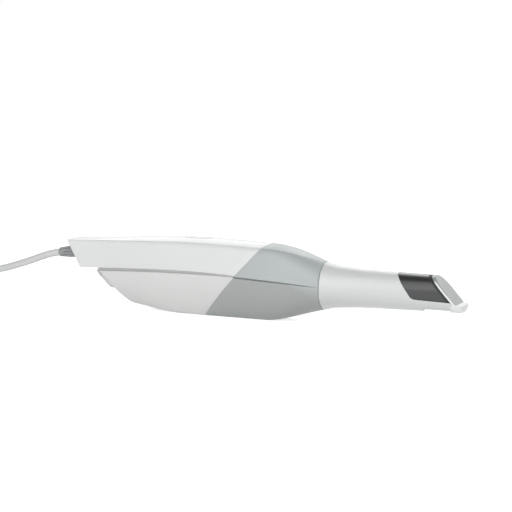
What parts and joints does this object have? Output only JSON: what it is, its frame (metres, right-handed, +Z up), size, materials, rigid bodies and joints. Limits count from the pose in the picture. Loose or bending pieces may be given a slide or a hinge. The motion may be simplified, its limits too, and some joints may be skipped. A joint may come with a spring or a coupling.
{
  "type": "intraoral scanner",
  "caption": "Pen-grip intraoral scanner: white and grey handle with a press button, push-on tip with a slanted mirror and scan window, fluted cable gland and cable.",
  "frame": {"origin": "on the floor under the middle of the scanner's length, cable left out", "axes": "+X forward to the tip, +Y to the left, +Z up"},
  "size_m": [0.4349, 0.0676, 0.0514],
  "materials": {
    "white_cover": "satin white moulding",
    "warm_cover": "satin warm white moulding",
    "grey_grip": "satin cool grey moulding",
    "tip_white": "satin white moulding",
    "dark_cover": "glossy near black moulding",
    "mirror_plate": "coated glass, grey back",
    "black_aluminium": "black anodised",
    "machined_aluminium": "machined",
    "optical_glass": "polished",
    "black_rubber": "soft",
    "grey_rubber": "soft, fluted",
    "circuit_board": "solder mask",
    "black_plastic": "moulded",
    "steel": "plain",
    "plated_magnet": "nickel plated",
    "copper": "enamelled wire",
    "cable_grey": "matt sheath"
  },
  "bodies": {
    "handle": {"upper_cover": "white_cover", "lower_cover": "warm_cover", "grip_sleeve": "grey_grip", "rear_cap": "warm_cover", "button_board": "circuit_board", "button_switch": "black_plastic", "nose_tube": "black_aluminium", "nose_window": "optical_glass", "grip_ring": "black_rubber", "front_lens": "optical_glass", "rear_lens": "optical_glass", "optical_bench": "machined_aluminium", "bench_screws": "steel", "nose_screws": "steel", "guide_rods": "steel", "drive_magnet": "plated_magnet", "beam_splitter": "optical_glass", "light_lens": "optical_glass", "light_board": "circuit_board", "heat_sink": "machined_aluminium", "sensor_board": "circuit_board", "image_sensor": "black_plastic", "main_board": "circuit_board", "board_shield": "steel", "cable_header": "black_plastic", "board_screws": "steel", "strain_relief": "grey_rubber", "inner_lead": "cable_grey", "cable": "cable_grey", "cable_coil": "cable_grey", "cable_tie": "black_plastic", "plug_body": "black_plastic", "plug_shell": "plated_magnet"},
    "tip": {"tip_sleeve": "tip_white", "mirror_cover": "dark_cover", "tip_mirror": "mirror_plate"},
    "button": {"scan_button": "white_cover"},
    "focus_group": {"focus_carriage": "black_plastic", "focus_lens": "optical_glass", "drive_coil": "copper"}
  },
  "joints": [
    {"name": "tip_pull", "type": "slide", "parent": "handle", "child": "tip", "axis": [1, 0, 0], "range_m": [0, 0.048]},
    {"name": "button_press", "type": "slide", "parent": "handle", "child": "button", "axis": [0, 0, -1], "range_m": [0, 0.0008], "stiffness_N_per_m": 1000, "springref_m": -0.0004},
    {"name": "focus_slide", "type": "slide", "parent": "handle", "child": "focus_group", "axis": [1, 0, 0], "range_m": [-0.0025, 0.0025]}
  ]
}
